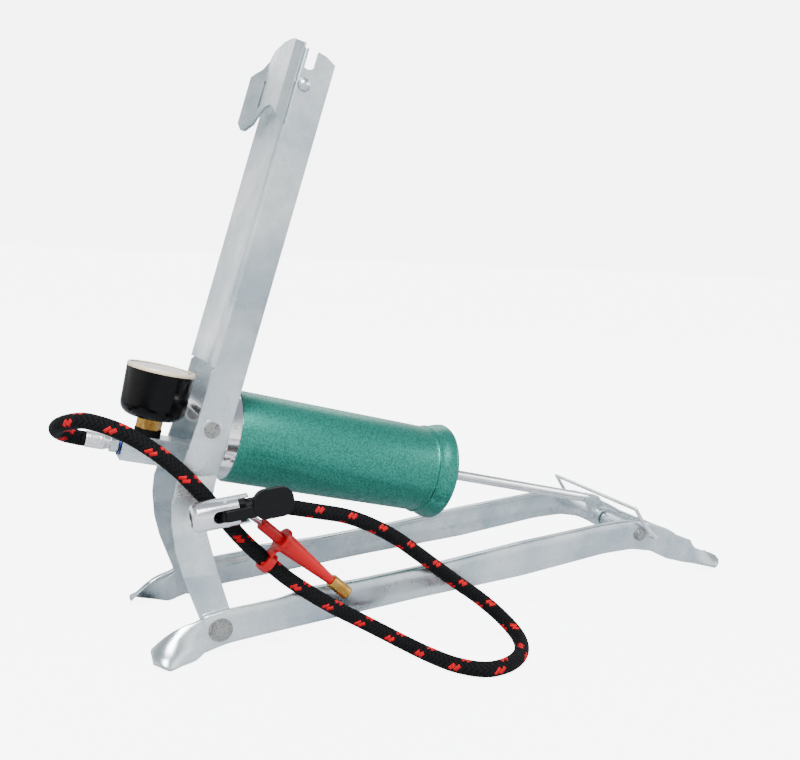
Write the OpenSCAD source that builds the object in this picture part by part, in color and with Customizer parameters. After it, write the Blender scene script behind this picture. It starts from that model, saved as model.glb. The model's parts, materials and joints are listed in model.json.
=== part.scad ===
// Foot-operated tyre pump standing on its four feet, pedal raised.
// Millimetres, +Z up. The barrel runs down towards +X and the lever stands at -X.

/* [Barrel] */
// outside radius of the barrel tube
barrel_r = 24.5; // [20:0.5:30]
// length of the barrel tube with its bell mouth
barrel_len = 126.4; // [100:0.2:150]
// wall of the barrel tube
barrel_wall = 1.6; // [1:0.1:3]
// slope of the barrel below the horizontal
barrel_tilt = 12.12; // [5:0.01:20]
// radius of the piston rod
rod_r = 3; // [2:0.25:5]

/* [Lever] */
// outside width of the lever channel
channel_w = 50.8; // [44:0.2:60]
// sheet thickness of the lever channel
channel_sheet = 1.4; // [1:0.1:2]
// top of the lever channel above the barrel bolts
channel_top = 189; // [160:1:220]
// lean of the lever from the vertical
lever_tilt = 15.4; // [5:0.1:30]
// proud height of the foot plate over the channel
plate_rise = 3.5; // [2:0.1:6]

/* [Base] */
// distance between the insides of the two rails
rail_gap = 71; // [60:1:90]
// sheet thickness of the rails
rail_sheet = 2.5; // [1.5:0.1:4]
// distance from the lever pin to the rod pin
pin_span = 258; // [240:1:280]
// radius of the latch wire
wire_r = 1.15; // [0.8:0.05:2]

/* [Gauge] */
// radius of the gauge case
gauge_r = 17; // [14:0.5:22]
// height of the gauge case
gauge_h = 24; // [18:0.5:30]

/* [Hose] */
// outside diameter of the braided hose
hose_d = 7.6; // [6:0.2:12]
// radius of the chuck tube
chuck_r = 7; // [6:0.25:9]

/* [Hidden] */
$fn = 48;
eps = 0.01;
frame_x = 147.81;                     // from the lever pin to the middle of the part
lever_pin = [0, 14];                  // X and Z from the lever pin's own column
bolt_at = [-3, 113];
bolt_rise = 5.2;                      // barrel bolts above the barrel axis
axis_foot = [bolt_at[0] - bolt_rise * sin(barrel_tilt), bolt_at[1] - bolt_rise * cos(barrel_tilt)];
tube_start = 15.9;
tube_end = tube_start + barrel_len;
bore_r = barrel_r - barrel_wall;
rod_pin_at = [pin_span, 41];
half_w = channel_w / 2;
half_gap = rail_gap / 2;
rail_out = half_gap + rail_sheet;
gauge_s = -25.5;                      // gauge axis along the barrel axis, from the bolts
arm_h = -13.75;                       // outlet arm below the barrel axis
arm_end = -37.3;
latch_at = [268.7, 38.5];
chuck_at = [-19.5, -57.2, 78.9];      // open end of the chuck
chuck_tilt = 7;
chuck_len = 30.5;                     // from the open end to the hose
steel = [0.78, 0.81, 0.83];
black = [0.06, 0.06, 0.07];
red = [0.85, 0.1, 0.12];
brass = [0.75, 0.58, 0.25];

// ---- placing ----
module at_pivot() { translate([-frame_x, 0, 0]) children(); }
module on_barrel() { at_pivot() translate([axis_foot[0], 0, axis_foot[1]]) rotate([0, barrel_tilt, 0]) children(); }
module on_lever() { at_pivot() translate([bolt_at[0], 0, bolt_at[1]]) rotate([0, lever_tilt, 0]) children(); }
module on_chuck() { at_pivot() translate(chuck_at) rotate([0, -chuck_tilt, 0]) children(); }
module on_adapter() { at_pivot() translate([16, -49, 71.5]) rotate([0, 41.5, 0]) children(); }
module both_sides() { children(); mirror([0, 1, 0]) children(); }
module side_on(depth) { rotate([90, 0, 0]) linear_extrude(height = depth, center = true) children(); }
module end_on(depth) { rotate([90, 0, 90]) linear_extrude(height = depth) children(); }
module spin_x() { rotate([0, 90, 0]) children(); }
module pin_y(r, y0, y1) { translate([0, y0, 0]) rotate([-90, 0, 0]) cylinder(r = r, h = y1 - y0); }
module bar(a, b, r) {
    d = b - a;
    translate(a) rotate([0, acos(d[2] / norm(d)), atan2(d[1], d[0])]) cylinder(r = r, h = norm(d));
}
function unit(v) = v / norm(v);
function lever_pt(x, z) = [bolt_at[0] + x * cos(lever_tilt) + z * sin(lever_tilt),
    bolt_at[1] - x * sin(lever_tilt) + z * cos(lever_tilt)];

// ---- swept round section ----
function spline(a, b, c, d, t) = 0.5 * (2 * b + (c - a) * t + (2 * a - 5 * b + 4 * c - d) * t * t
    + (3 * b - a - 3 * c + d) * t * t * t);
function smooth(p, k) = [for (i = [0 : (len(p) - 1) * k])
    let (j = min(floor(i / k), len(p) - 2), t = i / k - j,
        before = j == 0 ? 2 * p[0] - p[1] : p[j - 1],
        after = j == len(p) - 2 ? 2 * p[j + 1] - p[j] : p[j + 2])
    spline(before, p[j], p[j + 1], after, t)];
function tangent(p, i) = unit(p[min(i + 1, len(p) - 1)] - p[max(i - 1, 0)]);
module sweep(p, r, sides, ref) {
    n = len(p);
    pts = [for (i = [0 : n - 1]) let (t = tangent(p, i), u = unit(cross(t, ref)), v = cross(t, u))
        for (k = [0 : sides - 1]) p[i] + r * (u * cos(360 * k / sides) + v * sin(360 * k / sides))];
    walls = [for (i = [0 : n - 2]) for (k = [0 : sides - 1])
        [i * sides + k, (i + 1) * sides + k, (i + 1) * sides + (k + 1) % sides, i * sides + (k + 1) % sides]];
    caps = [[for (k = [0 : sides - 1]) k], [for (k = [0 : sides - 1]) n * sides - 1 - k]];
    polyhedron(points = pts, faces = concat(walls, caps), convexity = 6);
}

// ---- base ----
rail_top = [[-8, 21.6], [4, 24], [31, 26.6], [40, 29.4], [74, 31], [125, 36], [174, 42.7], [230, 48.6],
    [250, 49.5], [266, 47.5], [286, 40], [296, 34.5]];
rail_low = [[296, 17.5], [287, 20.4], [268, 29.4], [253, 32], [232, 31], [175, 23.3], [110, 17.7], [19, 8],
    [3, 6], [-8, 2.6]];
lip_top = [for (p = rail_top) if (p[0] >= 40 && p[0] < 260) p];
// a strip that twists flat: each station is [x, y and z of its low edge, width, twist]
module twisted_strip(st) {
    t = rail_sheet / 2;
    pts = [for (s = st) let (b = [s[0], s[1], s[2]], d = [0, sin(s[4]), cos(s[4])], n = [0, cos(s[4]), -sin(s[4])])
        each [b - n * t, b + n * t, b + d * s[3] + n * t, b + d * s[3] - n * t]];
    m = len(st);
    walls = [for (i = [0 : m - 2]) for (k = [0 : 3]) let (a = 4 * i + k, b = 4 * i + (k + 1) % 4)
        each [[a, b + 4, b], [a, a + 4, b + 4]]];
    caps = [[0, 1, 2], [0, 2, 3], [4 * m - 4, 4 * m - 2, 4 * m - 3], [4 * m - 4, 4 * m - 1, 4 * m - 2]];
    polyhedron(points = pts, faces = concat(walls, caps));
}
// the low edge of each foot flares outward and the strip lies over until its outer face looks up
module left_foot() {
    twisted_strip([for (i = [12 : -1 : 0]) let (t = i / 12, a = -75 * pow(t, 1.2), w = 19 - 2 * t,
            c = 8 * pow(max(0, t - 0.7) / 0.3, 1.5))
        [-7.9 - 25.6 * t, rail_out - 1.25 + (0.8 * w - c) * sin(-a),
            1.25 * sin(-a) + 2.6 * pow(max(0, 1 - 4 * t), 2) + c * cos(a) + 0.001, w - c, a]]);
}
module right_foot() {
    twisted_strip([for (i = [0 : 17]) let (t = min(i / 15, 1), u = min(1, max(0, (t - 0.2) / 0.65)),
            a = -60 * u * u * (3 - 2 * u), tip = max(0, i - 15), c = 2.2 * tip * tip)
        [295.9 + 54 * t + 3.4 * tip, 28.2 - 16.2 * t - 0.5 * tip - c * sin(-a) / 2,
            1.25 * sin(-a) + 17.5 * (1 - t) + c * cos(a) / 2 + 0.001, 17 - 4 * t - c, a]]);
}
module rail_shape() {
    difference() {
        union() {
            intersection() {
                side_on(120) polygon(concat(rail_top, rail_low));
                translate([0, 0, -5]) linear_extrude(height = 80)
                    polygon([[-8, rail_out], [265, rail_out], [296, 29.5], [296, 26.9], [264.6, half_gap], [-8, half_gap]]);
            }
            // stiffening lip turned in along the top edge
            intersection() {
                side_on(120) polygon(concat(lip_top, [for (i = [len(lip_top) - 1 : -1 : 0]) lip_top[i] - [0, rail_sheet]]));
                translate([30, half_gap - 2.5, 0]) cube([240, 3.5, 80]);
            }
            left_foot();
            right_foot();
        }
        translate([lever_pin[0], 0, lever_pin[1]]) pin_y(3, 20, 60);
        translate([rod_pin_at[0], 0, rod_pin_at[1]]) pin_y(3, 20, 60);
        translate([latch_at[0], 0, latch_at[1]]) pin_y(wire_r + 0.05, 20, 60);
    }
}
module back_rail() { color(steel) at_pivot() rail_shape(); }
module front_rail() { color(steel) at_pivot() mirror([0, 1, 0]) rail_shape(); }
module lever_pins() {
    color(steel) at_pivot() translate([lever_pin[0], 0, lever_pin[1]]) both_sides() {
        pin_y(3, half_gap - 3.6, rail_out);
        pin_y(6.2, rail_out, rail_out + 0.3);
        pin_y(4.5, rail_out, rail_out + 1.2);
        pin_y(3.4, rail_out + 1.2, rail_out + 1.8);
        pin_y(4.4, half_gap - 4, half_gap - 2.9);
    }
}
module rod_pin() {
    color(steel) at_pivot() translate([rod_pin_at[0], 0, rod_pin_at[1]]) {
        pin_y(3, -rail_out, rail_out);
        both_sides() {
            pin_y(3.9, rail_out, rail_out + 1.2);
            pin_y(3, rail_out + 1.2, rail_out + 1.7);
        }
    }
}
module rod_pin_spacers() {
    color(steel) at_pivot() translate([rod_pin_at[0], 0, rod_pin_at[1]]) both_sides() difference() {
        pin_y(4.5, 6, half_gap);
        pin_y(3, 5, half_gap + 1);
    }
}
module latch_wire() {
    y = rail_out + 2.5;
    a = [251, y, 58];
    b = [259, y, 47];
    c = [latch_at[0], y, latch_at[1]];
    color(steel) at_pivot() {
        bar([251, -y, 58], a, wire_r);
        both_sides() {
            bar(a, b, wire_r);
            bar(b, c, wire_r);
            bar(c, [latch_at[0], half_gap - 1.5, latch_at[1]], wire_r);
            // knuckles a little fuller than the wire at its bends
            for (p = [a, b, c]) translate(p) sphere(r = wire_r + 0.08);
        }
    }
}

// ---- lever ----
web_low = 30;
web_x = -9;
corner_r = 2.5;
web_dish = 2.5;
module lever_side() {
    difference() {
        union() {
            polygon([[-9, 19], [-10, 20], [-18, 41], [-21.5, 54], [-23, 68], [-22.5, 78], [-19.4, 89],
                lever_pt(web_x + 1, -3), lever_pt(web_x + 1, web_low - 2), lever_pt(web_x + corner_r, web_low),
                lever_pt(web_x + corner_r, channel_top), lever_pt(-3, channel_top), lever_pt(3, channel_top - 0.7),
                lever_pt(8.3, channel_top - 3), lever_pt(9, -28), [-6, 63], [-4, 54.5], [-1, 43], [5.5, 22], [7, 19]]);
            translate(lever_pin) circle(r = 9.4);
        }
        translate(lever_pin) circle(r = 3.05);
        translate(bolt_at) circle(r = 3);
        translate(lever_pt(-4.6, channel_top - 6.6)) rotate(-lever_tilt) union() {
            circle(r = 3.2);
            translate([-3.2, 0]) square([6.4, 20]);
        }
        translate(lever_pt(-4, channel_top - 17.2)) circle(r = 1.8);
    }
}
module lever_ends() {
    s = channel_sheet;
    y0 = half_gap - 0.2;
    polygon([[y0, 0], [y0, 42], [half_w, 90], [half_w, 330], [half_w - s, 330], [half_w - s, 89.8],
        [y0 - s, 41.6], [y0 - s, 0]]);
}
module web_section() {
    s = channel_sheet;
    c = half_w - corner_r;
    x = web_x + corner_r;
    outer = [for (a = [270 : -15 : 180]) [x + corner_r * cos(a), -c + corner_r * sin(a)]];
    dish = [for (k = [-11 : 11]) [web_x + web_dish * (1 - pow(k / 12, 2)), c * k / 12]];
    inner = [for (a = [270 : -15 : 180]) [x + (corner_r - s) * cos(a), -c + (corner_r - s) * sin(a)]];
    polygon(concat([[x + 0.3, -half_w]], outer, dish, [for (i = [len(outer) - 1 : -1 : 0]) [outer[i][0], -outer[i][1]]],
        [[x + 0.3, half_w], [x + 0.3, half_w - s]], [for (p = inner) [p[0], -p[1]]],
        [for (i = [len(dish) - 1 : -1 : 0]) dish[i] + [s, 0]],
        [for (i = [len(inner) - 1 : -1 : 0]) inner[i]], [[x + 0.3, s - half_w]]));
}
module lever_channel() {
    color(steel) {
        intersection() {
            at_pivot() side_on(90) lever_side();
            at_pivot() both_sides() translate([-40, 0, 0]) end_on(120) lever_ends();
        }
        on_lever() translate([0, 0, web_low]) linear_extrude(height = channel_top - web_low - 0.5) web_section();
    }
}
module stop_bar() { color(steel) on_lever() translate([-5, 0, 6.7]) pin_y(3.1, channel_sheet - half_w, half_w - channel_sheet); }
module foot_plate() {
    o = web_x - plate_rise;
    arch = [for (k = [-6 : 6]) [26 * k / 6, 162 - 10.6 * pow(k / 6, 2)]];
    color(steel) on_lever() difference() {
        union() {
            intersection() {
                linear_extrude(height = 210) polygon([[-9.4, -26.4], [o, -20.5], [o, 20.5], [o - 3, 27], [o - 5.1, 31],
                    [o - 3.8, 31.8], [o - 1.6, 27.8], [o + 1.5, 21.1], [o + 1.5, -19.9], [-8.3, -25.2]]);
                translate([-30, 0, 0]) end_on(40) polygon(concat([[-27, 151.4]], arch,
                    [[28, 151.4], [32, 156], [32, 179], [28, 182], [24, 184], [19, 190], [14.5, 193], [0, 194.5],
                    [-14, 193.5], [-27, 190]]));
            }
            both_sides() translate([o + 0.5, 12, 178]) spin_x() cylinder(r = 4, h = plate_rise + 1);
        }
        translate([o - 1, 15.3, 163.5]) cube([4, 5, 14]);
    }
}
module plate_rivets() {
    color(steel) on_lever() both_sides() translate([-4, 0, channel_top - 17.2]) {
        pin_y(1.8, half_w - 2.4, half_w);
        pin_y(2.8, half_w - 2.6, half_w - channel_sheet);
        translate([0, half_w, 0]) rotate([-90, 0, 0]) rotate_extrude() intersection() {
            translate([0, -1.4]) circle(r = 3.6);
            square([4, 4]);
        }
    }
}
module head_bolts() {
    color(steel) at_pivot() translate([bolt_at[0], 0, bolt_at[1]]) both_sides() {
        pin_y(3, 18.4, half_w);
        pin_y(4, half_w, half_w + 0.9);
    }
}
module head_washers() {
    color(steel) at_pivot() translate([bolt_at[0], 0, bolt_at[1]]) both_sides() difference() {
        pin_y(5.4, half_w, half_w + 0.5);
        pin_y(4, half_w - 1, half_w + 1);
    }
}

// ---- barrel and head ----
module turned() { spin_x() rotate_extrude() children(); }
module barrel() {
    r = barrel_r;
    e = tube_end;
    color([0.24, 0.6, 0.5]) on_barrel() turned() polygon([[r - 0.4, tube_start], [r, tube_start + 0.4],
        [r, e - 12.8], [r + 1.1, e - 11.7], [r + 0.6, e - 10.4], [r + 1.6, e - 7.8], [r + 2.8, e - 4.3],
        [r + 3.2, e - 1.6], [r + 2.7, e], [r + 1.4, e], [r + 1, e - 2.3], [r - 0.2, e - 7], [bore_r, e - 10],
        [bore_r, tube_start]]);
}
module head_cap() {
    color([0.86, 0.87, 0.88]) on_barrel() difference() {
        union() {
            turned() polygon([[0, 7], [20.5, 7], [22.6, 8], [23.4, 10], [23.4, tube_start], [bore_r, tube_start],
                [bore_r, 18.5], [21.5, 19], [0, 19]]);
            both_sides() {
                translate([0, 0, bolt_rise]) pin_y(4.4, 19, 23.8);
                translate([0, 19, bolt_rise - 4.4]) cube([8, 4.8, 8.8]);
            }
        }
        both_sides() translate([0, 0, bolt_rise]) pin_y(3.05, 18, 25);
        // crimp dimples round the rim and the outlet passage
        for (a = [22.5 : 45 : 360]) translate([12.6, 0, 0]) rotate([a, 0, 0]) translate([0, 0, 22.2]) cylinder(r = 1.6, h = 4);
        translate([4, 0, arm_h]) spin_x() cylinder(r = 2.5, h = 20);
    }
}
module outlet_arm() {
    color(steel) on_barrel() difference() {
        translate([arm_end, -7, arm_h - 6.75]) cube([7 - arm_end, 14, 13.5]);
        translate([arm_end - 1, 0, arm_h]) spin_x() cylinder(r = 2.5, h = 60);
        translate([gauge_s, 0, arm_h]) cylinder(r = 1.5, h = 10);
        // ball seat chamber just outside the barrel
        translate([-2, 0, arm_h]) spin_x() cylinder(r = 3.6, h = 10);
    }
}
module check_ball() { color(steel) on_barrel() translate([4, 0, arm_h]) sphere(r = 3); }
module check_spring() {
    p = [for (i = [0 : 40]) [-1.5 + i * 0.06, 2.6 * cos(i * 36), 2.6 * sin(i * 36)]];
    color(steel) on_barrel() translate([0, 0, arm_h]) sweep(p, 0.3, 6, [1, 0.01, 0]);
}

// ---- gauge ----
module on_gauge() { on_barrel() translate([gauge_s, 0, 0]) children(); }
gauge_low = 2.3;
gauge_top = gauge_low + gauge_h;
module gauge_seal() {
    color(black) on_gauge() translate([0, 0, -7]) difference() {
        cylinder(r = 6.8, h = 3.5);
        translate([0, 0, -1]) cylinder(r = 1.5, h = 6);
    }
}
module gauge_nut() {
    color(brass) on_gauge() translate([0, 0, -3.5]) difference() {
        union() {
            cylinder(r = 6.6, h = gauge_low + 3.5, $fn = 6);
            translate([0, 0, gauge_low + 3.5]) cylinder(r = 3.5, h = 2);
        }
        translate([0, 0, -1]) cylinder(r = 1.5, h = 6);
    }
}
module gauge_case() {
    k = 6;
    g = gauge_r;
    color(black) on_gauge() difference() {
        rotate_extrude($fn = 72) polygon(concat([[0, gauge_low]],
            [for (a = [-90 : 15 : 0]) [g - 0.6 - k + k * cos(a), gauge_low + k + k * sin(a)]],
            [[g, gauge_top], [0, gauge_top]]));
        translate([0, 0, gauge_top - 6]) cylinder(r = g - 1.4, h = 8);
        translate([0, 0, gauge_low - 1]) cylinder(r = 3.5, h = 3);
    }
}
module gauge_bezel() {
    g = gauge_r;
    color([0.9, 0.84, 0.72]) on_gauge() rotate_extrude($fn = 72)
        polygon([[g - 1.4, gauge_top], [g, gauge_top], [g + 0.1, gauge_top + 1], [g - 0.3, gauge_top + 2], [g - 1.4, gauge_top + 2]]);
}
module gauge_dial() {
    color([0.95, 0.95, 0.93]) on_gauge() translate([0, 0, gauge_top - 6]) difference() {
        cylinder(r = gauge_r - 1.4, h = 3.6);
        translate([0, 0, -1]) cylinder(r = 1.05, h = 6);
    }
}
module gauge_needle() {
    color([0.1, 0.1, 0.1]) on_gauge() translate([0, 0, gauge_top - 2]) rotate([0, 0, 200]) {
        translate([0, 0, -3]) cylinder(r = 1, h = 3.8);
        cylinder(r = 2, h = 0.8);
        linear_extrude(height = 0.7) polygon([[-5, -0.9], [-5, 0.9], [0, 0.7], [12.5, 0.2], [12.5, -0.2], [0, -0.7]]);
    }
}
module gauge_lens() { color([0.9, 0.95, 0.98]) on_gauge() translate([0, 0, gauge_top + 0.4]) cylinder(r = gauge_r - 1.4, h = 1.2); }

// ---- outlet fittings ----
module hose_washer() {
    color(black) on_barrel() translate([arm_end - 1.2, 0, arm_h]) spin_x() difference() {
        cylinder(r = 5.2, h = 1.2);
        translate([0, 0, -1]) cylinder(r = 2.5, h = 4);
    }
}
module hose_nut() {
    color(steel) on_barrel() translate([arm_end - 5, 0, arm_h]) spin_x() difference() {
        cylinder(r = 4.7, h = 3.8, $fn = 6);
        translate([0, 0, -1]) cylinder(r = 1.8, h = 6);
    }
}
module ferrule() {
    color([0.82, 0.83, 0.84]) on_barrel() translate([0, 0, arm_h]) turned() polygon([[1.8, arm_end - 17.2],
        [3.9, arm_end - 17.2], [4.2, arm_end - 16.6], [4.2, arm_end - 8.4], [3.6, arm_end - 6.8], [3.2, arm_end - 5],
        [1.8, arm_end - 5]]);
}

// ---- piston and rod ----
plate_s = 118;
module piston_plate() {
    color(steel) on_barrel() turned() polygon([[0, plate_s - 4], [6, plate_s - 4], [6.5, plate_s], [20.4, plate_s],
        [20.4, plate_s + 2.5], [0, plate_s + 2.5]]);
}
module piston_cup() {
    s = plate_s;
    color([0.1, 0.09, 0.08]) on_barrel() turned() polygon([[0, s + 2.5], [20.4, s + 2.5], [20.4, s - 4.8],
        [22.3, s - 6], [bore_r - 0.05, s - 4], [bore_r - 0.05, s + 5], [0, s + 5]]);
}
module piston_socket() {
    s = plate_s + 5;
    color(steel) on_barrel() turned() polygon([[0, s], [21.5, s], [21.5, s + 1.5], [18, s + 2.5], [18, s + 9],
        [15.4, s + 9], [15.4, s + 2.5], [0, s + 2.5]]);
}
module return_spring() {
    turns = 9;
    span = plate_s - 21.2;
    p = [for (i = [0 : turns * 12]) [20.1 + span * i / (turns * 12), 17 * cos(i * 30), 17 * sin(i * 30)]];
    color(steel) on_barrel() sweep(p, 0.9, 8, [1, 0.01, 0]);
}
module piston_rod() {
    color([0.85, 0.86, 0.87]) on_barrel() turned() polygon([[0, 128.2], [4.2, 128.2], [4.6, 129], [4.2, 131],
        [rod_r, 132], [rod_r, 252], [0, 252]]);
}
module rod_end() {
    c = [pin_span - axis_foot[0], rod_pin_at[1] - axis_foot[1]];
    hub = [c[0] * cos(barrel_tilt) - c[1] * sin(barrel_tilt), c[0] * sin(barrel_tilt) + c[1] * cos(barrel_tilt)];
    color(steel) on_barrel() difference() {
        union() {
            translate([252, 0, 0]) spin_x() cylinder(r = rod_r, h = 4);
            side_on(5) polygon([[254, -2.6], [254, 2.6], [263, 2.6], hub + [6.2, 2], hub + [-3.5, -5.5], [257.5, -3.5]]);
            translate([hub[0], 0, hub[1]]) pin_y(6.5, -5, 5);
        }
        translate([hub[0], 0, hub[1]]) pin_y(3.05, -8, 8);
    }
}

// ---- hose, chuck and adapter ----
ferrule_end = arm_end - 17.2;
hose_start = [axis_foot[0] + ferrule_end * cos(barrel_tilt) + arm_h * sin(barrel_tilt), 0,
    axis_foot[1] - ferrule_end * sin(barrel_tilt) + arm_h * cos(barrel_tilt)];
function along_chuck(x) = chuck_at + x * [cos(chuck_tilt), 0, sin(chuck_tilt)];
hose_out = [-cos(barrel_tilt), 0, sin(barrel_tilt)];
route = [hose_start, hose_start + 1.5 * hose_out, hose_start + 3 * hose_out, [-70.5, -4.5, 109.5],
    [-74, -12, 113.5], [-72.5, -21, 117.5], [-67.5, -28.5, 120.3], [-61, -34, 121], [-48, -40, 117], [-35, -43, 109],
    [-23, -44.5, 99], [-12.5, -45.5, 87.5], [-2, -45.5, 75], [8, -46, 63], [19, -46, 52], [30.5, -47, 41.5],
    [43.5, -49, 32], [56.5, -50.5, 23.5], [70, -51.5, 15.5], [81.5, -54, 9], [91, -62.5, 5], [98, -76, 4],
    [106, -90, 4], [118, -98.5, 4], [132.5, -96.5, 4], [145, -87, 4], [151.5, -73.5, 5.5], [148.5, -60.5, 11.5],
    [139, -52, 20], [126.5, -47.5, 29], [101.5, -45.5, 48], [89, -46, 57], [75, -47, 65], [60, -49, 71.5],
    [44.5, -51.5, 75.8], [29.5, -55, 80], [21.5, -56.8, 82], along_chuck(chuck_len + 4), along_chuck(chuck_len + 2),
    along_chuck(chuck_len)];
module hose() { color([0.09, 0.09, 0.1]) at_pivot() sweep(smooth(route, 2), hose_d / 2, 10, [0.5, 0.3, 0.81]); }
module chuck_body() {
    r = chuck_r;
    color([0.84, 0.85, 0.86]) on_chuck() difference() {
        turned() polygon([[4.2, 0], [5, 0], [6.2, 0.8], [r, 2.6], [r, 27.2], [r - 0.9, 27.2], [r - 0.9, 3], [r - 1.4, 1.4], [4.2, 1.2]]);
        // slot for the thumb lever, open into a cut-away at the hose end
        translate([12, -r - 1, 0]) rotate([-90, 0, 0]) linear_extrude(height = 4) union() {
            circle(r = 2.9);
            translate([0, -2.9]) square([15.2, 5.8]);
        }
        translate([21.7, -r - 1, -r - 1]) cube([8, r - 1, 2 * r + 2]);
        translate([16, -3.2, -8]) cylinder(r = 1, h = 16);
    }
}
module chuck_seal() {
    color(black) on_chuck() turned() polygon([[2.6, 1.4], [5.4, 1.4], [6.1, 3], [6.1, 9], [2.6, 9]]);
}
module chuck_stem() {
    color(black) on_chuck() {
        translate([20.5, 0, 0]) spin_x() cylinder(r = 4.6, h = chuck_len - 20.5);
        intersection() {
            translate([22, 0, 0]) spin_x() cylinder(r = chuck_r - 0.9, h = 3);
            translate([20, -4.6, -10]) cube([10, 20, 20]);
        }
    }
}
module thumb_lever() {
    color(black) on_chuck() difference() {
        union() {
            translate([16, -3.2, -2.7]) cylinder(r = 3.2, h = 5.4);
            translate([14.8, -8.2, -2.5]) cube([15.8, 3, 5]);
            translate([37.5, -7.2, 2.6]) rotate([90, 0, 0]) linear_extrude(height = 3, center = true) union() {
                square([7.4, 14.2], center = true);
                square([19.4, 2.2], center = true);
                for (x = [-3.7, 3.7]) for (z = [-1.1, 1.1]) translate([x, z]) circle(r = 6);
            }
        }
        translate([16, -3.2, -8]) cylinder(r = 1.05, h = 16);
    }
}
module thumb_pin() { color(steel) on_chuck() translate([16, -3.2, -6]) cylinder(r = 1, h = 12); }
module adapter_peg() { color(steel) at_pivot() bar([8.5, -56.8, 77.9], [16.6, -49, 71], 1.3); }
module adapter_cone() {
    color(red) on_adapter() difference() {
        turned() polygon([[0, 0], [2.6, 0], [3, 0.6], [3, 13.5], [6.4, 13.5], [6.4, 15.5], [5.2, 15.8], [2.4, 50], [0, 50]]);
        translate([-1, 0, 0]) spin_x() cylinder(r = 1.6, h = 9);
    }
}
module adapter_tip() {
    color(brass) on_adapter() turned() polygon([[0.9, 50], [3.2, 50], [3.5, 50.6], [3.5, 61.6], [3.2, 62.2], [0.9, 62.2]]);
}
module hose_clip() {
    color(red) at_pivot() {
        translate([20.4, -46, 50.7]) rotate([0, 43.5, 0]) spin_x() difference() {
            cylinder(r = 5.4, h = 4.4, center = true);
            cylinder(r = hose_d / 2, h = 6, center = true);
        }
    }
    color(red) on_adapter() translate([13.5, -3, -9.2]) cube([2, 6, 3.2]);
}

front_rail();
back_rail();
lever_pins();
rod_pin();
rod_pin_spacers();
latch_wire();
lever_channel();
stop_bar();
foot_plate();
plate_rivets();
head_bolts();
head_washers();
barrel();
head_cap();
outlet_arm();
check_ball();
check_spring();
gauge_seal();
gauge_nut();
gauge_case();
gauge_bezel();
gauge_dial();
gauge_needle();
gauge_lens();
hose_washer();
hose_nut();
ferrule();
piston_plate();
piston_cup();
piston_socket();
return_spring();
piston_rod();
rod_end();
hose();
chuck_body();
chuck_seal();
chuck_stem();
thumb_lever();
thumb_pin();
adapter_peg();
adapter_cone();
adapter_tip();
hose_clip();
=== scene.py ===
import json
import math

import bmesh
import bpy
import numpy as np
from mathutils import Matrix, Vector


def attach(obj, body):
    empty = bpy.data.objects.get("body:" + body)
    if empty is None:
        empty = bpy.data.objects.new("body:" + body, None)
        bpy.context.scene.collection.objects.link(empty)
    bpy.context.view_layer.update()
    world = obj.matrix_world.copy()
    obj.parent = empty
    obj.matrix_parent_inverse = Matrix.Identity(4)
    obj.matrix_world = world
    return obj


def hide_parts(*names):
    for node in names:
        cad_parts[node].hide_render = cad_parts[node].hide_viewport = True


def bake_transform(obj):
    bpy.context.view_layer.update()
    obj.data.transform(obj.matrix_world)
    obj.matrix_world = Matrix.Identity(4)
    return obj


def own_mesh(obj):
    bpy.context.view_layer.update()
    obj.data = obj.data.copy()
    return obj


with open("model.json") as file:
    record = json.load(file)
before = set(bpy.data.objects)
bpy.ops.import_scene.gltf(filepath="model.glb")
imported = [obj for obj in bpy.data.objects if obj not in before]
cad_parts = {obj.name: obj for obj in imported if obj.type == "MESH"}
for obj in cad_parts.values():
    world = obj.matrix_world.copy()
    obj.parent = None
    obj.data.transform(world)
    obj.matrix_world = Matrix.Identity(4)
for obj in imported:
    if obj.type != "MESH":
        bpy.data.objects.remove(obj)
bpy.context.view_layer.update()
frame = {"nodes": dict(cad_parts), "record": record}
FX = 147.81                                 # millimetres from the lever pin to the frame's middle


def P(x, y, z):
    """A point given in millimetres from the lever pin, in the row frame in metres."""
    return Vector(((x - FX) / 1000, y / 1000, z / 1000))


# ---------------------------------------------------------------- camera
scene = bpy.context.scene
cam = bpy.data.objects.new("camera", bpy.data.cameras.new("camera"))
scene.collection.objects.link(cam)
scene.camera = cam
yaw, pitch, roll = math.radians(23.208), math.radians(9.584), math.radians(2.593)
fwd = Vector((math.sin(yaw) * math.cos(pitch), math.cos(yaw) * math.cos(pitch), -math.sin(pitch)))
right = Vector((math.cos(yaw), -math.sin(yaw), 0))
up = right.cross(fwd)
r2 = right * math.cos(roll) + up * math.sin(roll)
u2 = up * math.cos(roll) - right * math.sin(roll)
m = Matrix((r2, u2, -fwd)).transposed().to_4x4()
m.translation = P(-97.1, -435.0, 201.1)
cam.matrix_world = m
cam.data.sensor_fit = "HORIZONTAL"
cam.data.sensor_width = 36
cam.data.lens = 36 * 861.4 / 800
cam.data.shift_x = (400 - 366.3) / 800
cam.data.shift_y = (400.5 - 380) / 800
cam.data.clip_start = 0.01

# ---------------------------------------------------------------- frames of the tilted parts
TILT = math.radians(12.12)
U = Vector((math.cos(TILT), 0, -math.sin(TILT)))
N = Vector((math.sin(TILT), 0, math.cos(TILT)))
FOOT = (-3 - 5.2 * math.sin(TILT), 113 - 5.2 * math.cos(TILT))


def on_barrel(s, y, h):
    """s along the barrel, y across and h above its axis, in millimetres."""
    return P(FOOT[0], 0, FOOT[1]) + (U * s + Vector((0, y, 0)) + N * h) / 1000


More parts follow.
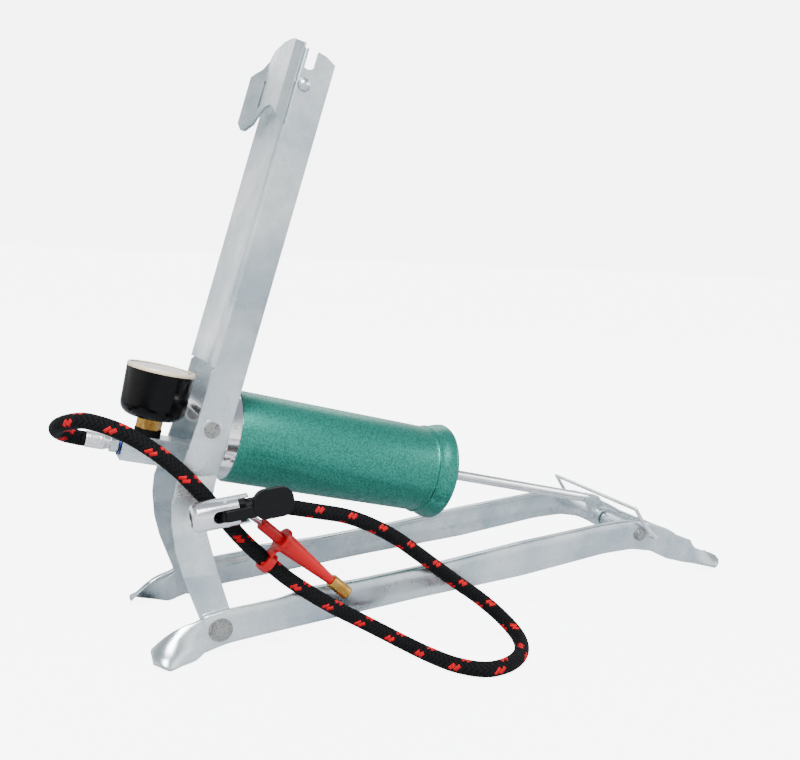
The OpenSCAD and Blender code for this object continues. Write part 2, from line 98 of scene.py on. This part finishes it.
# ---------------------------------------------------------------- node helpers
class Mat:
    def __init__(self, name):
        self.m = bpy.data.materials.new(name)
        self.m.use_nodes = True
        self.t = self.m.node_tree
        self.t.nodes.clear()
        self.out = self.t.nodes.new("ShaderNodeOutputMaterial")
        self.b = self.node("ShaderNodeBsdfPrincipled")
        self.link(self.b.outputs[0], self.out.inputs[0])

    def node(self, kind, **kw):
        n = self.t.nodes.new(kind)
        for k, v in kw.items():
            setattr(n, k, v)
        return n

    def link(self, a, b):
        self.t.links.new(a, b)
        return b

    def put(self, sock, v):
        if isinstance(v, bpy.types.NodeSocket):
            self.link(v, sock)
        elif isinstance(v, (tuple, list)) and len(v) == 3 and sock.type == "RGBA":
            sock.default_value = (*v, 1)
        else:
            sock.default_value = v

    def set(self, **kw):
        for k, v in kw.items():
            self.put(self.b.inputs[k.replace("_", " ")], v)

    def math(self, op, a, b=0.0, c=0.0):
        n = self.node("ShaderNodeMath", operation=op)
        for i, v in enumerate((a, b, c)):
            self.put(n.inputs[i], v)
        return n.outputs[0]

    def mix(self, f, a, b):
        n = self.node("ShaderNodeMix", data_type="RGBA")
        self.put(n.inputs[0], f)
        self.put(n.inputs[6], a)
        self.put(n.inputs[7], b)
        return n.outputs[2]

    def span(self, v, a, b, c, d):
        n = self.node("ShaderNodeMapRange", clamp=True)
        for i, x in enumerate((v, a, b, c, d)):
            self.put(n.inputs[i], x)
        return n.outputs[0]

    def coord(self, stretch=(1, 1, 1)):
        t = self.node("ShaderNodeTexCoord")
        n = self.node("ShaderNodeMapping")
        self.link(t.outputs["Object"], n.inputs[0])
        n.inputs["Scale"].default_value = stretch
        return n.outputs[0]

    def noise(self, scale, detail=4, rough=0.55, stretch=(1, 1, 1)):
        n = self.node("ShaderNodeTexNoise")
        self.link(self.coord(stretch), n.inputs["Vector"])
        n.inputs["Scale"].default_value = scale
        n.inputs["Detail"].default_value = detail
        n.inputs["Roughness"].default_value = rough
        return n.outputs[0]

    def bump(self, h, strength, dist=0.0002, radius=0.0):
        n = self.node("ShaderNodeBump")
        self.put(n.inputs["Height"], h)
        n.inputs["Strength"].default_value = strength
        n.inputs["Distance"].default_value = dist
        if radius:
            v = self.node("ShaderNodeBevel", samples=4)
            v.inputs[0].default_value = radius
            self.link(v.outputs[0], n.inputs["Normal"])
        self.link(n.outputs[0], self.b.inputs["Normal"])
        return n


# the finer and the coarser of the two patterns that place a stain, in cycles per metre
SPECK_SCALE, PATCH_SCALE = 330, 35


def metal(name, dark, light, rough, scale=60, stretch=(1, 1, 1), bevel=0.0005, bump=0.15,
          grain=900, stain=None):
    """Worked metal: mottled colour, uneven roughness, fine grain, eased edges and small stains."""
    a = Mat(name)
    n = a.noise(scale, 5, 0.6, stretch)
    col = a.mix(a.span(n, 0.35, 0.65, 0, 1), dark, light)
    if stain:
        specks = a.span(a.noise(SPECK_SCALE, 3, 0.7), 0.66, 0.76, 0, 0.55)
        patches = a.span(a.noise(PATCH_SCALE), 0.45, 0.6, 0, 1)
        col = a.mix(a.math("MULTIPLY", specks, patches), col, stain)
    fine = a.noise(grain, 3, 0.5, stretch)
    a.set(Base_Color=col, Metallic=0.95, Roughness=a.span(a.noise(scale * 2.2, 4), 0.3, 0.7, *rough))
    a.bump(fine, bump, 0.00015, bevel)
    return a.m


MATS = {
    "zinc": metal("zinc", (0.39, 0.47, 0.51), (0.68, 0.725, 0.73), (0.2, 0.36), 30, stain=(0.20, 0.18, 0.15)),
    "bright_cap": metal("bright_cap", (0.78, 0.78, 0.79), (0.88, 0.88, 0.89), (0.1, 0.2), 90, bump=0.04),
    "rod_steel": metal("rod_steel", (0.62, 0.64, 0.65), (0.78, 0.79, 0.80), (0.16, 0.26), 60,
                       (1, 8, 1), 0.0002, 0.06),
    "brass": metal("brass", (0.26, 0.13, 0.022), (0.50, 0.30, 0.075), (0.22, 0.38), 160,
                   bevel=0.0002, bump=0.12),
    "ferrule_metal": metal("ferrule_metal", (0.70, 0.70, 0.71), (0.80, 0.80, 0.80), (0.3, 0.45), 120,
                           bump=0.1, grain=500),
    "chuck_metal": metal("chuck_metal", (0.70, 0.71, 0.72), (0.82, 0.82, 0.83), (0.13, 0.24), 60, bump=0.05),
}


def plain(name, col, rough, coat=0.0, spread=0.06, bump=0.05, grain=700, bevel=0.0003, **more):
    """Plastic, rubber or paint: a slightly uneven colour and roughness over a fine grain."""
    a = Mat(name)
    n = a.noise(120, 4)
    dark = tuple(c * (1 - spread * 2) for c in col)
    uneven = a.span(a.noise(250, 3), 0.3, 0.7, rough * 0.85, rough * 1.2)
    a.set(Base_Color=a.mix(n, dark, col), Roughness=uneven, Coat_Weight=coat, Coat_Roughness=0.08, **more)
    a.bump(a.noise(grain, 3), bump, 0.00012, bevel)
    return a.m


MATS.update({
    "black_case": plain("black_case", (0.0015, 0.0015, 0.0017), 0.16, bump=0.02,
                        Specular_IOR_Level=0.12),
    "cream_ring": plain("cream_ring", (0.72, 0.60, 0.42), 0.34, 0.2),
    "dial_face": plain("dial_face", (0.84, 0.84, 0.81), 0.5),
    "needle": plain("needle", (0.02, 0.02, 0.02), 0.35),
    "black_rubber": plain("black_rubber", (0.004, 0.004, 0.004), 0.62, bump=0.2, Specular_IOR_Level=0.08),
    "black_plastic": plain("black_plastic", (0.0045, 0.0045, 0.005), 0.42, bump=0.15, grain=1400,
                           Specular_IOR_Level=0.12),
    "red_plastic": plain("red_plastic", (0.42, 0.002, 0.005), 0.32, bump=0.06, Specular_IOR_Level=0.2,
                         Subsurface_Weight=0.05, Subsurface_Radius=(0.004, 0.001, 0.001)),
})

a = Mat("lens")
a.set(Base_Color=(0.97, 0.98, 0.98), Roughness=a.span(a.noise(200), 0.3, 0.7, 0.01, 0.04), IOR=1.46,
      Transmission_Weight=1.0)
MATS["lens"] = a.m

# hammered enamel: flakes of light green in a dark net, their edges bent by a finer noise
FLAKE_SCALE, WARP_SCALE, WARP_SIZE = 1150, 400, 0.0022
a = Mat("green_enamel")
v = a.node("ShaderNodeTexVoronoi", feature="F1")
warp = a.node("ShaderNodeVectorMath", operation="ADD")
wn = a.node("ShaderNodeTexNoise")
a.link(a.coord(), wn.inputs["Vector"])
wn.inputs["Scale"].default_value = WARP_SCALE
ws = a.node("ShaderNodeVectorMath", operation="SCALE")
a.link(wn.outputs["Color"], ws.inputs[0])
ws.inputs["Scale"].default_value = WARP_SIZE
a.link(a.coord(), warp.inputs[0])
a.link(ws.outputs[0], warp.inputs[1])
a.link(warp.outputs[0], v.inputs["Vector"])
v.inputs["Scale"].default_value = FLAKE_SCALE
cells = a.span(v.outputs["Distance"], 0.15, 0.75, 1, 0)
mottle = a.noise(900, 3, 0.6)
k = a.math("MULTIPLY_ADD", cells, 0.75, a.math("MULTIPLY", mottle, 0.35))
col = a.mix(a.span(k, 0.25, 0.95, 0, 1), (0.012, 0.130, 0.101), (0.034, 0.255, 0.194))
a.set(Base_Color=col, Metallic=0.6, Roughness=a.span(k, 0.2, 0.9, 0.40, 0.3), Specular_IOR_Level=0.25,
      Coat_Weight=0.08, Coat_Roughness=0.2)
a.bump(k, 0.2, 0.0002, 0.0004)
MATS["green_enamel"] = a.m

# ---------------------------------------------------------------- braided hose
TILT_CHUCK = math.radians(7)
HOSE_START = (-60.366, 0, 105.783)
CHUCK = (-19.5, -57.2, 78.9)


def along_chuck(x):
    return (CHUCK[0] + x * math.cos(TILT_CHUCK), CHUCK[1], CHUCK[2] + x * math.sin(TILT_CHUCK))


def out_of_arm(k):
    """k millimetres straight out of the ferrule."""
    return (HOSE_START[0] - k * math.cos(TILT), 0, HOSE_START[2] + k * math.sin(TILT))


ROUTE = [HOSE_START, out_of_arm(1.5), out_of_arm(3), (-70.5, -4.5, 109.5), (-74, -12, 113.5),
         (-72.5, -21, 117.5), (-67.5, -28.5, 120.3), (-61, -34, 121), (-48, -40, 117), (-35, -43, 109),
         (-23, -44.5, 99), (-12.5, -45.5, 87.5), (-2, -45.5, 75), (8, -46, 63), (19, -46, 52),
         (30.5, -47, 41.5), (43.5, -49, 32), (56.5, -50.5, 23.5), (70, -51.5, 15.5), (81.5, -54, 9),
         (91, -62.5, 5), (98, -76, 4), (106, -90, 4), (118, -98.5, 4), (132.5, -96.5, 4), (145, -87, 4),
         (151.5, -73.5, 5.5), (148.5, -60.5, 11.5), (139, -52, 20), (126.5, -47.5, 29), (101.5, -45.5, 48),
         (89, -46, 57), (75, -47, 65), (60, -49, 71.5), (44.5, -51.5, 75.8), (29.5, -55, 80),
         (21.5, -56.8, 82), along_chuck(34.5), along_chuck(32.5), along_chuck(30.5)]
HOSE_D = 0.0076


def smooth(pts, k):
    """A smooth curve through the points, with k steps between each two."""
    pts = [np.array(p, float) for p in pts]
    pts = [2 * pts[0] - pts[1]] + pts + [2 * pts[-1] - pts[-2]]
    out = []
    for a, b, c, d in zip(pts, pts[1:], pts[2:], pts[3:]):
        for t in np.arange(k) / k:
            bend, twist = 2 * a - 5 * b + 4 * c - d, 3 * b - a - 3 * c + d
            out.append(0.5 * (2 * b + (c - a) * t + bend * t * t + twist * t ** 3))
    return np.array(out + [pts[-2]])


def even(line, step):
    """The line again with evenly spaced points, and the run of each along it."""
    d = np.r_[0, np.cumsum(np.linalg.norm(np.diff(line, axis=0), axis=1))]
    s = np.linspace(0, d[-1], int(round(d[-1] / step)) + 1)
    return np.stack([np.interp(s, d, line[:, i]) for i in range(3)], 1), s


def new_object(name, verts, faces, mat=None, smooth_faces=True, uv=None):
    me = bpy.data.meshes.new(name)
    me.from_pydata([tuple(v) for v in verts], [], [tuple(f) for f in faces])
    me.update()
    if uv is not None:
        layer = me.uv_layers.new(name="UVMap")
        for poly, quad in zip(me.polygons, uv):
            for li, c in zip(poly.loop_indices, quad):
                layer.data[li].uv = c
    ob = bpy.data.objects.new(name, me)
    scene.collection.objects.link(ob)
    for p in me.polygons:
        p.use_smooth = smooth_faces
    if mat:
        me.materials.append(mat)
    return ob


def face_outward(ob, sharp_angle):
    """Turn every face outward, and keep edges sharper than sharp_angle (degrees) crisp."""
    bm = bmesh.new()
    bm.from_mesh(ob.data)
    bmesh.ops.recalc_face_normals(bm, faces=bm.faces)
    bm.to_mesh(ob.data)
    bm.free()
    ob.data.set_sharp_from_angle(angle=math.radians(sharp_angle))


def ring_faces(around, rings):
    """Quads of a surface closed both ways: `around` rows of `rings` points each."""
    return [(i * rings + j, i * rings + (j + 1) % rings, (i + 1) % around * rings + (j + 1) % rings,
             (i + 1) % around * rings + j) for i in range(around) for j in range(rings)]


def tube(name, line, s, radius, sides, mat, pitch=0.020):
    """A closed tube along a line. UV is turns of the braid along it, and once round it."""
    t = np.gradient(line, axis=0)
    t /= np.linalg.norm(t, axis=1)[:, None]
    u = np.cross(t[0], [0.5, 0.3, 0.81])
    verts, faces, uv = [], [], []
    for i, p in enumerate(line):
        u = u - t[i] * u.dot(t[i])
        u /= np.linalg.norm(u)
        w = np.cross(t[i], u)
        for k in range(sides):
            q = 2 * math.pi * k / sides
            verts.append(p + radius * (u * math.cos(q) + w * math.sin(q)))
    for i in range(len(line) - 1):
        for k in range(sides):
            k2 = (k + 1) % sides
            faces.append((i * sides + k, i * sides + k2, (i + 1) * sides + k2, (i + 1) * sides + k))
            u0, u1, v0, v1 = s[i] / pitch, s[i + 1] / pitch, k / sides, (k + 1) / sides
            uv.append(((u0, v0), (u0, v1), (u1, v1), (u1, v0)))
    for i, turn in ((0, -1), (len(line) - 1, 1)):
        ring = [i * sides + k for k in range(sides)][::turn]
        faces.append(ring)
        uv.append([(s[i] / pitch, 0)] * sides)
    return new_object(name, verts, faces, mat, True, uv)


a = Mat("braid")
uvn = a.node("ShaderNodeUVMap", uv_map="UVMap")
xyz = a.node("ShaderNodeSeparateXYZ")
a.link(uvn.outputs[0], xyz.inputs[0])
along, round_ = xyz.outputs[0], xyz.outputs[1]
K = 8.0                                     # yarn bands round the hose, each way
sa = a.math("MULTIPLY", a.math("ADD", round_, along), K)
sb = a.math("MULTIPLY", a.math("SUBTRACT", round_, along), K)
ia, ib = a.math("FLOOR", sa), a.math("FLOOR", sb)
fa, fb = a.math("FRACT", sa), a.math("FRACT", sb)


def hump(f):
    """Nought at both edges of a band and one at its middle."""
    q = a.math("MULTIPLY_ADD", f, 2.0, -1.0)
    return a.math("SUBTRACT", 1.0, a.math("MULTIPLY", q, q))


turn = a.math("FLOORED_MODULO", a.math("ADD", ia, ib), 4.0)
top_a = a.math("LESS_THAN", turn, 1.5)
under = a.math("SUBTRACT", 1.0, top_a)


def woven(first, second):
    """The first way's value where it lies on top, else the second way's."""
    return a.math("ADD", a.math("MULTIPLY", top_a, first), a.math("MULTIPLY", under, second))


hmix = woven(hump(fa), hump(fb))
YARNS = 3.0                                 # yarns side by side in a band


def yarn(f):
    return hump(a.math("FRACT", a.math("MULTIPLY", f, YARNS)))


fine_a, fine_b = yarn(fa), yarn(fb)
yarns = woven(fine_a, fine_b)
height = a.math("MULTIPLY_ADD", yarns, 0.35, hmix)
tracer = a.math("MULTIPLY", top_a, a.math("LESS_THAN", a.math("FLOORED_MODULO", ia, K), 1.5))
# painted light: the black yarns are painted darker between bands and threads and lighter on their crowns (a
# painted highlight), and the red tracer yarns are painted darker between their threads
crown_highlight = a.span(a.math("MULTIPLY", hmix, yarns), 0.1, 0.9, 0, 1)
painted_yarn_shade = a.mix(crown_highlight, (0.0006, 0.0006, 0.0006), (0.0075, 0.0075, 0.0085))
tracer_painted_shade = a.mix(a.span(fine_a, 0.35, 0.8, 0, 1), (0.006, 0.0006, 0.0008), (0.62, 0.006, 0.014))
a.set(Base_Color=a.mix(tracer, painted_yarn_shade, tracer_painted_shade), Roughness=0.7, Specular_IOR_Level=0.07)
a.bump(height, 0.7, 0.0005)
MATS["braid"] = a.m

path = np.array([P(*p)[:] for p in ROUTE])
fine, dist = even(smooth(path, 8), 0.0012)
hose = tube("hose_braid", fine, dist, HOSE_D / 2, 28, MATS["braid"])
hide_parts("hose")
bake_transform(hose)

# ---------------------------------------------------------------- finishes on the CAD nodes
def peened(name, x, z, r):
    """A riveted head: dull dark steel with a ring of punch marks round its middle (x, z), and a painted
    shadow in the gap round its rim.
    """
    a = Mat(name)
    t = a.node("ShaderNodeTexCoord")
    c = a.node("ShaderNodeSeparateXYZ")
    a.link(t.outputs["Object"], c.inputs[0])
    middle = P(x, 0, z)
    dx = a.math("SUBTRACT", c.outputs[0], middle.x)
    dz = a.math("SUBTRACT", c.outputs[2], middle.z)
    dist_ = a.math("SQRT", a.math("ADD", a.math("MULTIPLY", dx, dx), a.math("MULTIPLY", dz, dz)))
    ray = a.math("SINE", a.math("MULTIPLY", a.math("ARCTAN2", dz, dx), 11.0))
    ring = a.math("MULTIPLY", a.span(dist_, r * 0.35, r * 0.5, 0, 1), a.span(dist_, r * 0.8, r * 0.95, 1, 0))
    marks = a.math("MULTIPLY", a.span(ray, 0.2, 0.8, 0, 1), ring)
    dirt = a.noise(900, 4, 0.7)
    dark = a.math("MAXIMUM", a.math("MULTIPLY", marks, 0.8), a.span(dirt, 0.5, 0.7, 0, 0.7))
    head = a.mix(dark, (0.30, 0.30, 0.29), (0.05, 0.048, 0.045))
    # painted shadow: a near-black band just outside the head's rim stands for the shade in the gap round it;
    # beyond it the shoulder is light zinc
    rim_shadow_and_shoulder = a.mix(a.span(dist_, r * 1.0, r * 1.12, 0, 1), (0.06, 0.06, 0.06), (0.60, 0.64, 0.65))
    a.set(Base_Color=a.mix(a.span(dist_, r * 0.96, r * 1.0, 0, 1), head, rim_shadow_and_shoulder), Metallic=0.85,
          Roughness=a.span(dirt, 0.3, 0.7, 0.3, 0.5))
    a.bump(a.math("SUBTRACT", dirt, marks), 0.5, 0.0004, 0.0003)
    return a.m


OWN = {"head_bolts": peened("peened_barrel_bolt", -3, 113, 4),
       "lever_pins": peened("peened_lever_pin", 0, 14, 4.5),
       "rod_pin": peened("peened_rod_pin", 258, 41, 3.9)}
for s in frame["record"]["subparts"]:
    ob = frame["nodes"][s["node"]]
    ob.data.materials.clear()
    ob.data.materials.append(OWN.get(s["node"], MATS[s["material_slot"]]))

# ---------------------------------------------------------------- rails with smoothly twisted feet
SHEET, RAIL_OUT = 2.5, 38.0
RAIL_TOP = [(-8, 21.6), (4, 24), (31, 26.6), (40, 29.4), (74, 31), (125, 36), (174, 42.7), (230, 48.6),
            (250, 49.5), (266, 47.5), (286, 40), (296, 34.5)]
RAIL_LOW = [(-8, 2.6), (3, 6), (19, 8), (110, 17.7), (175, 23.3), (232, 31), (253, 32), (268, 29.4),
            (287, 20.4), (296, 17.5)]


def eased(pts, x, reach):
    """The height of an outline at x, with its corners eased over a few millimetres."""
    px, pz = zip(*pts)
    return sum(float(np.interp(x + d, px, pz)) for d in np.linspace(-reach, reach, 7)) / 7


def smoothstep(t):
    t = min(1, max(0, t))
    return t * t * (3 - 2 * t)


EASE, STEP = 3.0, 2.0                       # reach of the easing, and spacing of the stations
LEFT_STEPS, RIGHT_STEPS, TIP_STEPS = 48, 60, 8


def rail_stations():
    """Each station: x, y and z of the low edge of the mid plane, width, lie-over angle and lip."""
    out = []
    for i in range(LEFT_STEPS, 0, -1):
        t = i / LEFT_STEPS
        lie = math.radians(75) * t ** 1.2
        w = 19 - 2 * t
        cut = 8 * (max(0, t - 0.7) / 0.3) ** 1.5
        y = RAIL_OUT - SHEET / 2 + (0.8 * w - cut) * math.sin(lie)
        z = SHEET / 2 * math.sin(lie) + 2.6 * max(0, 1 - 4 * t) ** 2 + cut * math.cos(lie)
        out.append((-8 - 25.5 * t, y, z, w - cut, lie, 0))
    for x in np.arange(-8, 296.1, STEP):
        low, top = eased(RAIL_LOW, x, min(EASE, x + 8)), eased(RAIL_TOP, x, min(EASE, x + 8, 296 - x))
        y = float(np.interp(x, (0, 265, 296), (36.75, 36.75, 28.2)))
        lip = 2.5 * smoothstep((x - 38) / 8) * smoothstep((262 - x) / 10)
        out.append((x, y, low, top - low, 0, lip))
    for i in range(1, RIGHT_STEPS + TIP_STEPS + 1):
        t, tip = min(i / RIGHT_STEPS, 1), max(0, i - RIGHT_STEPS) / 4
        lie = math.radians(60) * smoothstep((t - 0.2) / 0.65)
        cut = 2.2 * tip * tip
        y = 28.2 - 16.2 * t - 0.5 * tip - cut * math.sin(lie) / 2
        z = SHEET / 2 * math.sin(lie) + 17.5 * (1 - t) + cut * math.cos(lie) / 2
        out.append((296 + 54 * t + 3.35 * tip, y, z, 17 - 4 * t - cut, lie, 0))
    return out


def rail(name, side):
    """One rail swept through its stations; side is 1 for the far one and -1 for the near one."""
    h, c = SHEET / 2, 0.35                  # half the sheet, and the size of the eased edges
    verts, faces = [], []
    stations = rail_stations()
    for x, y, z, w, lie, lip in stations:
        through, up_ = (math.cos(lie), math.sin(lie)), (-math.sin(lie), math.cos(lie))
        ring = [(h, c), (h, w * 0.35), (h, w * 0.7), (h, w - c), (h - c, w), (c - h - lip, w),
                (-h - lip, w - c), (-h - lip, w - SHEET + c), (c - h - lip, w - SHEET),
                (-h, w - SHEET - 0.3), (-h, w * 0.5), (-h, c), (c - h, 0), (h - c, 0)]
        for q, r in ring:
            out = y + q * through[0] + r * up_[0]
            verts.append(P(x, side * out, z + q * through[1] + r * up_[1])[:])
    k = len(ring)
    for i in range(len(stations) - 1):
        for j in range(k):
            quad = (i * k + j, i * k + (j + 1) % k, (i + 1) * k + (j + 1) % k, (i + 1) * k + j)
            faces.append(quad if side > 0 else quad[::-1])
    first, last = list(range(k)), [(len(stations) - 1) * k + j for j in range(k)]
    faces += [first[::-1], last] if side > 0 else [first, last[::-1]]
    ob = new_object(name + "_strip", verts, faces, MATS["zinc"])
    face_outward(ob, 50)
    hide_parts(name)
    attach(ob, "base")


rail("back_rail", 1)
rail("front_rail", -1)

# ---------------------------------------------------------------- barrel with its rolled lip and bell mouth
TUBE_START, TUBE_END, BARREL_R, BORE_R, AROUND = 15.9, 142.3, 24.38, 22.9, 112
# the lip: millimetres out from the tube and along from its end
LIP = [(0, -12.85), (0.5, -12.35), (0.92, -11.92), (0.98, -11.7), (0.85, -11.5), (0.1, -11.25),
       (0.05, -10.95), (0.55, -10.7), (0.58, -10.0), (0.9, -8.8), (1.6, -7.2), (2.3, -5.4),
       (2.78, -3.7), (3.05, -2.2), (3.15, -1.6), (2.85, -0.75), (2.5, -0.1), (2.0, 0), (1.4, -0.2),
       (1.05, -2.3), (0.2, -5.6), (-0.4, -7.4)]
outline = [(BARREL_R - 0.4, TUBE_START), (BARREL_R - 0.12, TUBE_START + 0.12), (BARREL_R, TUBE_START + 0.4)]
outline += [(BARREL_R + r, TUBE_END + d) for r, d in LIP] + [(BORE_R, TUBE_END - 10), (BORE_R, TUBE_START)]
verts = []
for i in range(AROUND):
    q = 2 * math.pi * i / AROUND
    verts += [on_barrel(d, r * math.cos(q), r * math.sin(q))[:] for r, d in outline]
barrel = new_object("barrel_tube", verts, ring_faces(AROUND, len(outline)), MATS["green_enamel"])
face_outward(barrel, 38)
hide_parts("barrel")
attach(barrel, "cylinder")

# ---------------------------------------------------------------- return spring
# it shortens as the piston moves up; here it is swept at one length, from s0 to s1
turns, s0, s1, coil_r = 9, 20.1, 116.9, 17
helix = []
for t in np.linspace(0, 1, turns * 48 + 1):
    q = turns * 2 * math.pi * t
    helix.append(on_barrel(s0 + (s1 - s0) * t, coil_r * math.cos(q), coil_r * math.sin(q))[:])
helix = np.array(helix)
run = np.r_[0, np.cumsum(np.linalg.norm(np.diff(helix, axis=0), axis=1))]
spring = tube("return_spring_coil", helix, run, 0.0009, 12, MATS["rod_steel"])
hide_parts("return_spring")
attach(spring, "cylinder")
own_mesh(spring)

# ---------------------------------------------------------------- gauge dial: ticks and numbers
GAUGE_S, DIAL_H = -25.5, 23.9               # the dial's middle along the barrel's axis, and its height
ZERO, FULL = 200, -60                       # degrees at the two ends of the scale
BOX = ((0, 3, 2, 1), (4, 5, 6, 7), (0, 1, 5, 4), (1, 2, 6, 5), (2, 3, 7, 6), (3, 0, 4, 7))
marks, quads = [], []
for i in range(51):
    ang = math.radians(ZERO + (FULL - ZERO) * i / 50)
    major = i % 5 == 0
    r0, r1, wd = (11.9, 14.4, 0.22) if major else (13.0, 14.4, 0.11)
    base = len(marks)
    for h in (DIAL_H - 0.05, DIAL_H + 0.06):
        for r, side in ((r0, -1), (r1, -1), (r1, 1), (r0, 1)):
            x = r * math.cos(ang) - side * wd * math.sin(ang)
            y = r * math.sin(ang) + side * wd * math.cos(ang)
            marks.append(on_barrel(GAUGE_S + x, y, h)[:])
    quads += [tuple(base + k for k in q) for q in BOX]
ticks = new_object("dial_ticks", marks, quads, MATS["needle"], False)
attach(ticks, "cylinder")
north = math.radians((ZERO + FULL) / 2)
up_v = U * math.cos(north) + Vector((0, 1, 0)) * math.sin(north)
for i in range(0, 11, 2):
    ang = math.radians(ZERO + (FULL - ZERO) * i / 10)
    font = bpy.data.curves.new(f"number_{i}", "FONT")
    font.body = str(i)
    font.size = 0.0036
    font.align_x, font.align_y = "CENTER", "CENTER"
    font.extrude = 0.00004
    ob = bpy.data.objects.new(f"dial_number_{i}", font)
    scene.collection.objects.link(ob)
    font.materials.append(MATS["needle"])
    mm = Matrix((up_v.cross(N), up_v, N)).transposed().to_4x4()
    mm.translation = on_barrel(GAUGE_S + 9.3 * math.cos(ang), 9.3 * math.sin(ang), DIAL_H + 0.03)
    ob.matrix_world = mm
    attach(ob, "cylinder")

# ---------------------------------------------------------------- blue thread sealant at the hose washer
ARM_END, ARM_H = -37.3, -13.75
a = Mat("sealant")
blue = a.mix(a.noise(700), (0.004, 0.012, 0.12), (0.01, 0.03, 0.30))
a.set(Base_Color=blue, Roughness=0.35, Coat_Weight=0.3)
a.bump(a.noise(900), 0.4, 0.0003)
BEAD_AROUND, BEAD_RING = 64, 10
verts = []
for i in range(BEAD_AROUND):
    q = 2 * math.pi * i / BEAD_AROUND
    lump = 0.55 + 0.22 * math.sin(3 * q + 1) + 0.16 * math.sin(7 * q) + 0.1 * math.sin(13 * q + 2)
    for k in range(BEAD_RING):
        w = 2 * math.pi * k / BEAD_RING
        r = 5.0 + lump * math.cos(w)
        along_arm = ARM_END - 0.6 + 0.75 * lump * math.sin(w)
        verts.append(on_barrel(along_arm, r * math.cos(q), ARM_H + r * math.sin(q))[:])
sealant = new_object("thread_sealant", verts, ring_faces(BEAD_AROUND, BEAD_RING), a.m)
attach(sealant, "cylinder")

# ---------------------------------------------------------------- pressed panel on the ferrule
NA, NS = 20, 16
verts, faces = [], []
for layer in (0, 1):
    for i in range(NA + 1):
        for j in range(NS + 1):
            edge = max(abs(i / NA * 2 - 1), abs(j / NS * 2 - 1))
            rise = min(1, (1 - edge) * 5) - 0.55 * min(1, max(0, (0.75 - edge) * 8))
            r = 4.15 + 0.35 * rise if layer else 4.0
            q = math.radians(125 + 75 * i / NA)
            verts.append(on_barrel(ARM_END - 16 + 7 * j / NS, r * math.cos(q), ARM_H + r * math.sin(q))[:])
top = (NA + 1) * (NS + 1)
for i in range(NA):
    for j in range(NS):
        k = i * (NS + 1) + j
        q = (k, k + 1, k + NS + 2, k + NS + 1)
        faces += [q[::-1], tuple(c + top for c in q)]
rim = [j for j in range(NS + 1)] + [i * (NS + 1) + NS for i in range(1, NA + 1)] \
    + [NA * (NS + 1) + j for j in range(NS - 1, -1, -1)] + [i * (NS + 1) for i in range(NA - 1, 0, -1)]
for k0, k1 in zip(rim, rim[1:] + rim[:1]):
    faces.append((k0, k1, k1 + top, k0 + top))
panel = new_object("ferrule_panel", verts, faces, MATS["ferrule_metal"])
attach(panel, "cylinder")

# ---------------------------------------------------------------- floor and light
FLOOR_HALF = 30                             # metres from the middle to each side
FLOOR_GLOW, COVE_GLOW, LIGHT = 6.6, 6.5, 2.15
corners = [(x, y, 0) for x, y in ((-1, -1), (1, -1), (1, 1), (-1, 1))]
floor = new_object("floor", [tuple(FLOOR_HALF * c for c in q) for q in corners], [(0, 1, 2, 3)], None, False)
a = Mat("floor")
pale = a.mix(a.noise(3), (0.46, 0.48, 0.52), (0.49, 0.51, 0.545))
a.set(Base_Color=pale, Roughness=0.6, Specular_IOR_Level=0.2)
seen = a.node("ShaderNodeLightPath").outputs["Is Camera Ray"]
a.set(Emission_Color=(0.97, 0.98, 1.0), Emission_Strength=a.math("MULTIPLY", seen, FLOOR_GLOW))
floor.data.materials.append(a.m)
world = bpy.data.worlds.new("world")
scene.world = world
world.use_nodes = True
wt = world.node_tree
bg = wt.nodes["Background"]


def wnode(kind, **kw):
    n = wt.nodes.new(kind)
    for k_, v_ in kw.items():
        setattr(n, k_, v_)
    return n


# a white cove: bright all round the horizon and dimmer overhead
direction = wnode("ShaderNodeTexCoord")
sep = wnode("ShaderNodeSeparateXYZ")
wt.links.new(direction.outputs["Generated"], sep.inputs[0])
ramp = wnode("ShaderNodeValToRGB")
wt.links.new(sep.outputs[2], ramp.inputs[0])
ramp.color_ramp.elements[0].position = 0.02
ramp.color_ramp.elements[0].color = (1, 1, 1, 1)
ramp.color_ramp.elements[1].position = 0.75
ramp.color_ramp.elements[1].color = (0.17, 0.19, 0.22, 1)
wt.links.new(ramp.outputs[0], bg.inputs[0])
bg.inputs[1].default_value = LIGHT
# the backdrop itself is brighter than the light it sheds, as a separately lit white cove is
rays = wnode("ShaderNodeLightPath")
cove = wnode("ShaderNodeBackground")
cove.inputs[0].default_value = (0.985, 0.99, 1, 1)
cove.inputs[1].default_value = COVE_GLOW
pick = wnode("ShaderNodeMixShader")
wt.links.new(rays.outputs["Is Camera Ray"], pick.inputs[0])
wt.links.new(bg.outputs[0], pick.inputs[1])
wt.links.new(cove.outputs[0], pick.inputs[2])
wt.links.new(pick.outputs[0], wt.nodes["World Output"].inputs[0])


def area(name, at, to, size, watts):
    d = bpy.data.lights.new(name, "AREA")
    d.shape, d.size, d.size_y, d.energy = "RECTANGLE", size[0], size[1], watts
    ob = bpy.data.objects.new(name, d)
    scene.collection.objects.link(ob)
    ob.location = at
    ob.rotation_mode = "QUATERNION"
    ob.rotation_quaternion = (Vector(to) - Vector(at)).to_track_quat("-Z", "Y")


area("key", (-0.5, -0.7, 1.3), (0, 0, 0.1), (0.7, 0.7), 46)
area("fill", (1.1, -0.6, 0.7), (0, 0, 0.1), (0.8, 0.6), 8)
area("back", (0.2, 1.2, 1.0), (0, 0, 0.1), (1.2, 0.6), 7)
